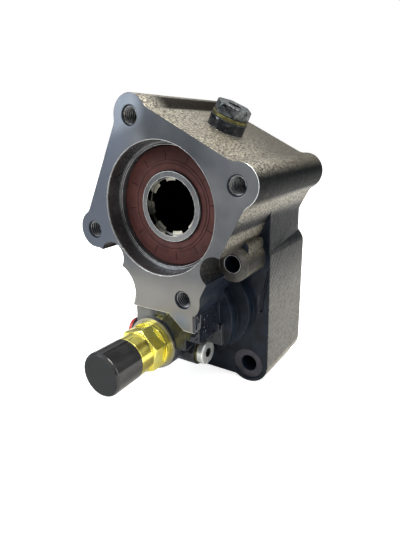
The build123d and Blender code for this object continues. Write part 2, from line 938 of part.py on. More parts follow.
with BuildPart() as front_bush:
    ring(
        journal_radius + running_clearance,
        front_bush_radius - seat_clearance,
        front_bush_front,
        sleeve_cavity_front,
        z=input_z,
    )
export(front_bush.part, "front_bush")

with BuildPart() as gear_bush:
    ring(gear_seat_radius + running_clearance, gear_bush_radius, gear_front, gear_rear, z=input_z)
export(gear_bush.part, "gear_bush")

with BuildPart() as thrust_ring:
    ring(thrust_ring_inner, thrust_ring_outer, input_cavity_front, gear_front - loose_clearance, z=input_z)
export(thrust_ring.part, "thrust_ring")

# Input gear: teeth, bush bore and sockets for the dogs
dog_end = sleeve_web_rear + dog_length
socket_end = dog_end + shift_travel + socket_end_clearance
with BuildPart() as input_gear:
    gear_flat = gear_outline(input_teeth, input_pitch_radius, 90 + 180 / input_teeth)
    raised(gear_flat, gear_front, gear_rear, z=input_z)
    bore(gear_bush_radius, gear_front, gear_rear, z=input_z)
    socket_span = dog_angle + 2 * degrees(dog_side_clearance / dog_inner_radius)
    for dog in range(dog_count):
        socket_flat = sector(
            dog_inner_radius - dog_side_clearance,
            dog_outer_radius + dog_side_clearance,
            dog_start + dog * 360 / dog_count,
            socket_span,
        )
        raised(socket_flat, gear_front, socket_end, z=input_z, mode=Mode.SUBTRACT)
export(input_gear.part, "input_gear")

# Dog sleeve: splined hub, fork groove, rim and dogs
with BuildPart() as dog_sleeve:
    turned(
        [
            (0, sleeve_front),
            (sleeve_collar_radius, sleeve_front),
            (sleeve_collar_radius, groove_front),
            (groove_radius, groove_front),
            (groove_radius, groove_front + groove_width),
            (sleeve_rim_radius, groove_front + groove_width),
            (sleeve_rim_radius, sleeve_web_rear),
            (dog_inner_radius - sleeve_hub_step, sleeve_web_rear),
            (dog_inner_radius - sleeve_hub_step, sleeve_hub_rear),
            (0, sleeve_hub_rear),
        ],
        z=input_z,
    )
    sleeve_hole = splined_hole(
        shaft_tooth_root + slide_clearance,
        shaft_tooth_tip + slide_clearance,
        shaft_tooth_width + 2 * slide_clearance,
        shaft_teeth,
    )
    raised(sleeve_hole, sleeve_front, sleeve_hub_rear, z=input_z, mode=Mode.SUBTRACT)
    for dog in range(dog_count):
        dog_flat = sector(dog_inner_radius, dog_outer_radius, dog_start + dog * 360 / dog_count, dog_angle)
        raised(dog_flat, sleeve_web_rear, dog_end, z=input_z)
export(dog_sleeve.part, "dog_sleeve")

# Carrier of the input shaft's roller bearing, its seal ring and its retaining ring
o_ring_middle = carrier_front + carrier_width / 2
with BuildPart() as bearing_carrier:
    carrier_edge = carrier_radius - seat_clearance
    groove_floor = carrier_radius - 2 * o_ring_radius - seat_clearance
    turned(
        [
            (input_bearing_radius, carrier_front),
            (carrier_edge, carrier_front),
            (carrier_edge, o_ring_middle - o_ring_room * o_ring_radius),
            (groove_floor, o_ring_middle - o_ring_room * o_ring_radius),
            (groove_floor, o_ring_middle + o_ring_room * o_ring_radius),
            (carrier_edge, o_ring_middle + o_ring_room * o_ring_radius),
            (carrier_edge, carrier_rear),
            (carrier_lip_radius, carrier_rear),
            (carrier_lip_radius, input_bearing_rear),
            (input_bearing_radius, input_bearing_rear),
        ],
        z=input_z,
    )
export(bearing_carrier.part, "bearing_carrier")

with BuildPart() as carrier_seal_ring:
    with BuildSketch(section_at(0, input_z)):
        with Locations((carrier_radius - o_ring_radius - seat_clearance, o_ring_middle)):
            Circle(o_ring_radius)
    revolve(axis=axis_at(0, input_z))
export(carrier_seal_ring.part, "carrier_seal_ring")

export(
    snap_ring(
        carrier_radius - carrier_ring_depth,
        carrier_radius + carrier_ring_groove - seat_clearance,
        carrier_ring_ear,
        carrier_ring_gap,
        carrier_rear,
        carrier_rear + carrier_ring_width,
        z=input_z,
    ),
    "carrier_retaining_ring",
)

# Roller bearing of the input shaft
roller_circle = (shaft_rear_radius + input_bearing_radius) / 2
roller_half = (input_bearing_rear - carrier_front) / 2 - roller_shelf
bearing_middle = (carrier_front + input_bearing_rear) / 2
with BuildPart() as input_bearing_outer_ring:
    ring(
        roller_circle + roller_ring_share * input_roller_radius,
        input_bearing_radius - seat_clearance,
        carrier_front,
        input_bearing_rear,
        z=input_z,
    )
    ring(
        roller_circle,
        roller_circle + input_roller_radius + running_clearance,
        bearing_middle - roller_half - running_clearance,
        bearing_middle + roller_half + running_clearance,
        z=input_z,
        mode=Mode.SUBTRACT,
    )
export(input_bearing_outer_ring.part, "input_bearing_outer_ring")

with BuildPart() as input_bearing_inner_ring:
    ring(
        shaft_rear_radius + seat_clearance,
        roller_circle - input_roller_radius - running_clearance,
        carrier_front,
        input_bearing_rear,
        z=input_z,
    )
export(input_bearing_inner_ring.part, "input_bearing_inner_ring")

with BuildPart() as input_bearing_rollers:
    with BuildSketch(face_at(bearing_middle + roller_half)):
        with Locations((0, input_z)):
            with PolarLocations(roller_circle, input_roller_count):
                Circle(input_roller_radius)
    extrude(amount=2 * roller_half)
export(input_bearing_rollers.part, "input_bearing_rollers")

with BuildPart() as input_bearing_cage:
    cage_half = roller_half + roller_cage_margin
    ring(
        roller_circle - roller_cage_share * input_roller_radius,
        roller_circle + roller_cage_share * input_roller_radius,
        bearing_middle - cage_half,
        bearing_middle + cage_half,
        z=input_z,
    )
    with BuildSketch(face_at(bearing_middle + roller_half + running_clearance)):
        with Locations((0, input_z)):
            with PolarLocations(roller_circle, input_roller_count):
                Circle(input_roller_radius + 2 * running_clearance)
    extrude(amount=2 * (roller_half + running_clearance), mode=Mode.SUBTRACT)
export(input_bearing_cage.part, "input_bearing_cage")

# Shift fork: a half ring in the sleeve groove with a boss for the rod
rod_offset_x = actuator_x
rod_offset_z = actuator_z - input_z
rod_direction = degrees(atan2(rod_offset_z, rod_offset_x))
pin_y = (fork_front + fork_rear) / 2
pin_turn = radians(rod_direction + 90)
pin_axis = Vector(cos(pin_turn), 0, sin(pin_turn))
pin_plane = Plane(origin=(actuator_x, pin_y, actuator_z), x_dir=(0, 1, 0), z_dir=pin_axis)
with BuildPart() as shift_fork:
    with BuildSketch() as fork_flat:
        add(sector(groove_radius + 2 * slide_clearance, fork_outer_radius, rod_direction, fork_wrap))
        with Locations((rod_offset_x, rod_offset_z)):
            Circle(fork_boss_radius)
        Circle(groove_radius + 2 * slide_clearance, mode=Mode.SUBTRACT)
        with Locations((rod_offset_x, rod_offset_z)):
            Circle(rod_radius + seat_clearance, mode=Mode.SUBTRACT)
    raised(fork_flat.sketch, fork_front, fork_rear, z=input_z)
    with BuildSketch(pin_plane) as pin_hole:
        Circle(fork_pin_radius)
    extrude(amount=2 * fork_boss_radius, both=True, mode=Mode.SUBTRACT)
export(shift_fork.part, "shift_fork")

with BuildPart() as shift_rod:
    ring(0, rod_radius, piston_front, fork_rear, actuator_x, actuator_z)
    extrude(pin_hole.sketch, amount=2 * rod_radius, both=True, mode=Mode.SUBTRACT)
export(shift_rod.part, "shift_rod")

with BuildPart() as fork_pin:
    with BuildSketch(pin_plane):
        Circle(fork_pin_radius - seat_clearance)
    extrude(amount=fork_boss_radius - fork_boss_inset, both=True)
export(fork_pin.part, "fork_pin")

# Air piston, its seal ring and the return spring round the rod
piston_edge = cylinder_radius - slide_clearance
piston_middle = (piston_front + piston_rear) / 2
with BuildPart() as piston:
    turned(
        [
            (rod_radius + seat_clearance, piston_front),
            (piston_edge, piston_front),
            (piston_edge, piston_middle - piston_seal_section),
            (piston_edge - 2 * piston_seal_section, piston_middle - piston_seal_section),
            (piston_edge - 2 * piston_seal_section, piston_middle + piston_seal_section),
            (piston_edge, piston_middle + piston_seal_section),
            (piston_edge, piston_rear),
            (rod_radius + seat_clearance, piston_rear),
        ],
        actuator_x,
        actuator_z,
    )
export(piston.part, "piston")

with BuildPart() as piston_seal:
    with BuildSketch(section_at(actuator_x, actuator_z)):
        with Locations((piston_edge - piston_seal_section, piston_middle)):
            Circle(piston_seal_section - seat_clearance)
    revolve(axis=axis_at(actuator_x, actuator_z))
export(piston_seal.part, "piston_seal")

with BuildPart() as return_spring:
    spring_length = cylinder_end - piston_rear - 2 * spring_wire_radius - 2 * seat_clearance
    spring_start = Vector(actuator_x, piston_rear + spring_wire_radius + seat_clearance, actuator_z)
    with BuildLine() as coil:
        Helix(spring_length / spring_turns, spring_length, spring_radius, spring_start, (0, 1, 0))
    with BuildSketch(Plane(origin=coil.line @ 0, z_dir=coil.line % 0)):
        RegularPolygon(spring_wire_radius, 6)
    sweep(path=coil.line, is_frenet=True)
export(return_spring.part, "return_spring")

# Indicator switch: washer, brass body, plunger and protective cap
switch_seat = actuator_front - switch_washer_width
with BuildPart() as switch_washer:
    ring(switch_thread_radius, switch_washer_radius, switch_seat, actuator_front, actuator_x, actuator_z)
export(switch_washer.part, "switch_washer")

plunger_rear = piston_front - seat_clearance
plunger_front = plunger_rear - plunger_length
neck_front_y = cap_front + cap_wall + plunger_room
with BuildPart() as switch_body:
    turned(
        [
            (0, neck_front_y),
            (switch_neck_radius, neck_front_y),
            (switch_neck_radius, cap_rear + cap_gap),
            (switch_body_radius - cap_edge_bevel, cap_rear + cap_gap),
            (switch_body_radius, cap_rear + cap_gap + cap_edge_bevel),
            (switch_body_radius, switch_seat - switch_collar_width),
            (switch_collar_radius, switch_seat - switch_collar_width),
            (switch_collar_radius, switch_seat),
            (switch_thread_radius - slide_clearance, switch_seat),
            (switch_thread_radius - slide_clearance, switch_thread_end),
            (0, switch_thread_end),
        ],
        actuator_x,
        actuator_z,
    )
    with BuildPart(mode=Mode.ADD) as switch_hex:
        with BuildSketch(face_at(switch_seat)):
            with Locations((actuator_x, actuator_z)):
                RegularPolygon(across_flats(switch_hex_flats), 6, rotation=switch_hex_turn)
        extrude(amount=switch_seat - switch_hex_front)
        hex_corner = across_flats(switch_hex_flats)
        turned(
            [
                (0, switch_hex_front),
                (hex_corner - switch_hex_slope * switch_hex_bevel, switch_hex_front),
                (hex_corner + hub_edge, switch_hex_front + switch_hex_bevel),
                (hex_corner + hub_edge, switch_seat),
                (0, switch_seat),
            ],
            actuator_x,
            actuator_z,
            Mode.INTERSECT,
        )
    way_front = plunger_front - plunger_room
    bore(plunger_radius + slide_clearance, way_front, switch_thread_end, actuator_x, actuator_z)
export(switch_body.part, "switch_body")

with BuildPart() as switch_plunger:
    turned(
        [
            (0, plunger_front),
            (plunger_radius, plunger_front),
            (plunger_radius, plunger_rear - plunger_edge),
            (plunger_radius - plunger_edge, plunger_rear),
            (0, plunger_rear),
        ],
        actuator_x,
        actuator_z,
    )
export(switch_plunger.part, "switch_plunger")

with BuildPart() as switch_cap:
    cap_inner = switch_neck_radius + loose_clearance
    with BuildSketch(section_at(actuator_x, actuator_z)) as cap_section:
        with BuildLine():
            Polyline(
                (0, cap_front + cap_wall),
                (0, cap_front),
                (cap_radius - cap_edge, cap_front),
            )
            RadiusArc((cap_radius - cap_edge, cap_front), (cap_radius, cap_front + cap_edge), -cap_edge)
            Polyline(
                (cap_radius, cap_front + cap_edge),
                (cap_radius - cap_edge_bevel, cap_rear),
                (cap_inner, cap_rear),
                (cap_inner, cap_front + cap_wall),
                (0, cap_front + cap_wall),
            )
        make_face()
    revolve(axis=axis_at(actuator_x, actuator_z))
export(switch_cap.part, "switch_cap")

# Side plug: collar, hexagon socket and shank, with its washer
side_head_start = side_boss_face + side_plug_washer_width


def side_face(x):
    return Plane(origin=(x, side_plug_y, side_plug_z), x_dir=(0, 1, 0), z_dir=(1, 0, 0))


with BuildPart() as side_plug:
    with BuildSketch(side_face(side_head_start)):
        Circle(side_plug_radius)
    extrude(amount=side_plug_head)
    chamfer(side_plug.edges().group_by(Axis.X)[-1], side_plug_bevel)
    with BuildSketch(side_face(side_head_start)):
        Circle(side_plug_thread - seat_clearance)
    extrude(amount=-(side_plug_length - thread_end_gap + side_plug_washer_width))
    with BuildSketch(side_face(side_plug_face)):
        RegularPolygon(across_flats(side_plug_socket), 6)
    extrude(amount=-side_plug_socket_depth, mode=Mode.SUBTRACT)
export(side_plug.part, "side_plug")

with BuildPart() as side_plug_washer:
    with BuildSketch(side_face(side_boss_face)):
        Circle(side_plug_radius + side_plug_washer_lip)
        Circle(side_plug_thread, mode=Mode.SUBTRACT)
    extrude(amount=side_plug_washer_width)
export(side_plug_washer.part, "side_plug_washer")


def port_face(x):
    return Plane(origin=(x, port_y, port_z), x_dir=(0, 1, 0), z_dir=(1, 0, 0))


# Plastic plug in the air port, hollow and open outwards
with BuildPart() as port_plug:
    with BuildSketch(port_face(port_boss_x)):
        Circle(port_plug_radius)
    extrude(amount=-port_plug_head)
    chamfer(port_plug.edges().group_by(Axis.X)[0], port_plug_bevel)
    with BuildSketch(port_face(port_boss_x)):
        Circle(port_thread - seat_clearance)
    extrude(amount=port_plug_length)
    with BuildSketch(port_face(port_boss_x - port_plug_head)):
        Circle(port_plug_recess)
    extrude(amount=port_plug_length + port_plug_head - port_plug_floor, mode=Mode.SUBTRACT)
export(port_plug.part, "port_plug")

# Fill plug: hexagon head with a socket, over its washer
with BuildPart() as fill_washer:
    with BuildSketch(fill_plane.offset(fill_boss_height)):
        Circle(fill_washer_radius)
        Circle(fill_thread, mode=Mode.SUBTRACT)
    extrude(amount=fill_washer_width)
export(fill_washer.part, "fill_washer")

fill_head_start = fill_boss_height + fill_washer_width
with BuildPart() as fill_plug:
    with BuildSketch(fill_plane.offset(fill_head_start)):
        RegularPolygon(across_flats(fill_hex_flats), 6, rotation=fill_hex_turn)
    extrude(amount=fill_head_height)
    with BuildSketch(fill_plane.offset(fill_head_start + fill_head_height)):
        Circle(across_flats(fill_hex_flats) - fill_head_bevel)
    extrude(amount=-fill_head_height, mode=Mode.INTERSECT, taper=-fill_head_taper)
    with BuildSketch(fill_plane.offset(fill_head_start)):
        Circle(fill_thread - seat_clearance)
    extrude(amount=-fill_plug_length)
    with BuildSketch(fill_plane.offset(fill_head_start + fill_head_height)):
        RegularPolygon(across_flats(fill_socket_flats), 6)
    extrude(amount=-fill_socket_depth, mode=Mode.SUBTRACT)
export(fill_plug.part, "fill_plug")
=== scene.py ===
import json
from math import cos, hypot, pi, radians, sin

import bmesh
import bpy
from mathutils import Matrix, Vector
from mathutils.bvhtree import BVHTree


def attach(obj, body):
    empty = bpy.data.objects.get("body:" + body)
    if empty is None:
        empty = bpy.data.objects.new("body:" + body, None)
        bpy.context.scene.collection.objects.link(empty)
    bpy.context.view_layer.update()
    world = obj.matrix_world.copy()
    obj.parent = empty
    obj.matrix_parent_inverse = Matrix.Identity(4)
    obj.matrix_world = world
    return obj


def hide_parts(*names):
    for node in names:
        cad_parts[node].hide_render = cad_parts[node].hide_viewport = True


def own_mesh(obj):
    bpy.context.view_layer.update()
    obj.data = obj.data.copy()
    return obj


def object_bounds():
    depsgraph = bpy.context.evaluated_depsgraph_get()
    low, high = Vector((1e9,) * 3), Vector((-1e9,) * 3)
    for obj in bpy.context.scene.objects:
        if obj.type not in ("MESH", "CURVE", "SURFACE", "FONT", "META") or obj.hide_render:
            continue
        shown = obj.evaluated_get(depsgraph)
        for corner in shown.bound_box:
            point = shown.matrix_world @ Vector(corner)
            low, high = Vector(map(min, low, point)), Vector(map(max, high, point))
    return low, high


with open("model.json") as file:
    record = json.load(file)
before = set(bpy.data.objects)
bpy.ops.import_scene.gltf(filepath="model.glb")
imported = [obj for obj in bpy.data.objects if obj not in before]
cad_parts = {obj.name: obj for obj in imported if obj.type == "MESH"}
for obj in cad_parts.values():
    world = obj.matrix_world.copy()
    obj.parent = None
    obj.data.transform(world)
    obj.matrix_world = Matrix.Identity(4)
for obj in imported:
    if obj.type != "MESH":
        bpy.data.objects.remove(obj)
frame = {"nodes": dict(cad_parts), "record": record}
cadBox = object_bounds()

nodes = frame["nodes"]
record = frame["record"]
scene = bpy.context.scene
mm = 0.001
# the flange is turned by this much about the pump axis
turn = radians(27.8)
white = (1, 1, 1, 1)

# Shared helpers


def newObject(name, data):
    item = bpy.data.objects.new(name, data)
    scene.collection.objects.link(item)
    return item


def newNodeMaterial(name):
    material = bpy.data.materials.new(name)
    material.use_nodes = True
    return material, material.node_tree


def setInput(tree, socket, value):
    if isinstance(value, bpy.types.NodeSocket):
        tree.links.new(value, socket)
    else:
        socket.default_value = value


def add(tree, kind, *ordered, operation=None, **named):
    # a new node: its first inputs in order, then others by their names
    node = tree.nodes.new(kind)
    if operation:
        node.operation = operation
    for socket, value in zip(node.inputs, ordered):
        setInput(tree, socket, value)
    for name, value in named.items():
        setInput(tree, node.inputs[name.replace("_", " ")], value)
    return node


def multiply(tree, first, second):
    return add(tree, "ShaderNodeMath", first, second, operation="MULTIPLY").outputs[0]


def lessen(tree, share, amount):
    # 1 where the share is 0, and less by the amount where it is 1
    return add(tree, "ShaderNodeMath", share, -amount, 1, operation="MULTIPLY_ADD").outputs[0]


# Studio
studio = {
    "lens": 28.61,
    "nearClip": 0.01,
    "eye": (0.15944, -0.19484, 0.04159),
    "right": (0.83677, 0.54713, -0.02165),
    "forward": (-0.52839, 0.79647, -0.29400),
    "floorColour": (0.80, 0.80, 0.80, 1),
    "floorGlow": 0.80,
    "floorReach": 3.0,
    # height of the view direction, brightness of the room at that height
    "room": ((-1.0, 0.50), (-0.12, 0.34), (0.02, 0.12), (0.30, 0.20), (0.62, 0.75), (1.0, 0.95)),
    "roomTint": (0.93, 0.96, 1.0),
    # place, aim, width, height, watts, colour
    "lamps": {
        "keyTop": ((0.22, 0.16, 0.60), (0, 0.05, -0.03), 0.50, 0.40, 8.0, (1.0, 0.96, 0.88)),
        "sideRight": ((0.62, 0.16, 0.02), (0, 0.05, -0.06), 0.30, 0.45, 1.0, (1.0, 0.97, 0.92)),
        "frontLeft": ((-0.38, -0.50, 0.22), (0, 0, -0.04), 0.35, 0.35, 2.6, (0.90, 0.95, 1.0)),
    },
}


def makeCamera():
    eye, right, forward = (Vector(studio[k]) for k in ("eye", "right", "forward"))
    up = right.cross(forward)
    camera = newObject("camera", bpy.data.cameras.new("camera"))
    camera.data.lens = studio["lens"]
    camera.data.clip_start = studio["nearClip"]
    facing = Matrix((right, up, -forward)).transposed().to_4x4()
    camera.matrix_world = Matrix.Translation(eye) @ facing
    scene.camera = camera


def makeLamps():
    for name, (place, aim, width, height, watts, colour) in studio["lamps"].items():
        lamp = bpy.data.lights.new(name, "AREA")
        lamp.shape = "RECTANGLE"
        lamp.size, lamp.size_y = width, height
        lamp.energy, lamp.color = watts, colour
        holder = newObject(name, lamp)
        holder.location = place
        holder.rotation_euler = (Vector(aim) - Vector(place)).to_track_quat("-Z", "Y").to_euler()


def makeWorld():
    # a room that is bright overhead and dim at eye level; the camera itself sees white
    world = bpy.data.worlds.new("studioWorld")
    scene.world = world
    world.use_nodes = True
    tree = world.node_tree
    tree.nodes.clear()
    facing = add(tree, "ShaderNodeTexCoord").outputs["Generated"]
    height = add(tree, "ShaderNodeSeparateXYZ", facing).outputs["Z"]
    rise = add(tree, "ShaderNodeMapRange", Value=height, From_Min=-1)
    level = add(tree, "ShaderNodeValToRGB", Fac=rise.outputs["Result"])
    ramp = level.color_ramp
    for place, value in studio["room"]:
        stop = ramp.elements.new((place + 1) / 2)
        stop.color = (*(value * tint for tint in studio["roomTint"]), 1)
    ramp.elements.remove(ramp.elements[0])
    ramp.elements.remove(ramp.elements[-1])
    light = add(tree, "ShaderNodeBackground", Color=level.outputs["Color"])
    seen = add(tree, "ShaderNodeBackground", Color=white)
    direct = add(tree, "ShaderNodeLightPath").outputs["Is Camera Ray"]
    chosen = add(tree, "ShaderNodeMixShader", direct, light.outputs[0], seen.outputs[0])
    add(tree, "ShaderNodeOutputWorld", Surface=chosen.outputs[0])


def makeFloor():
    low, reach = cadBox[0][2], studio["floorReach"]
    mesh = bpy.data.meshes.new("floor")
    corners = [(-reach, -reach, low), (reach, -reach, low), (reach, reach, low), (-reach, reach, low)]
    mesh.from_pydata(corners, [], [(0, 1, 2, 3)])
    floor = newObject("floor", mesh)
    material, tree = newNodeMaterial("floorPaper")
    tree.nodes.clear()
    direct = add(tree, "ShaderNodeLightPath").outputs["Is Camera Ray"]
    glow = add(tree, "ShaderNodeEmission", Color=white,
               Strength=multiply(tree, direct, studio["floorGlow"]))
    paper = add(tree, "ShaderNodeBsdfDiffuse", Color=studio["floorColour"])
    lit = add(tree, "ShaderNodeAddShader", paper.outputs[0], glow.outputs[0])
    add(tree, "ShaderNodeOutputMaterial", Surface=lit.outputs[0])
    mesh.materials.append(material)


print("studio")
makeCamera()
makeLamps()
makeWorld()
makeFloor()
scene.view_settings.view_transform = "Standard"

# Directions for the veils below; across and above follow the turned flange
toRight, toLeft, toBack, toFront = (1, 0, 0), (-1, 0, 0), (0, 1, 0), (0, -1, 0)
toTop, toBottom = (0, 0, 1), (0, 0, -1)
across, acrossBack, above = (0.8846, 0, -0.4664), (-0.8846, 0, 0.4664), (0.4664, 0, 0.8846)

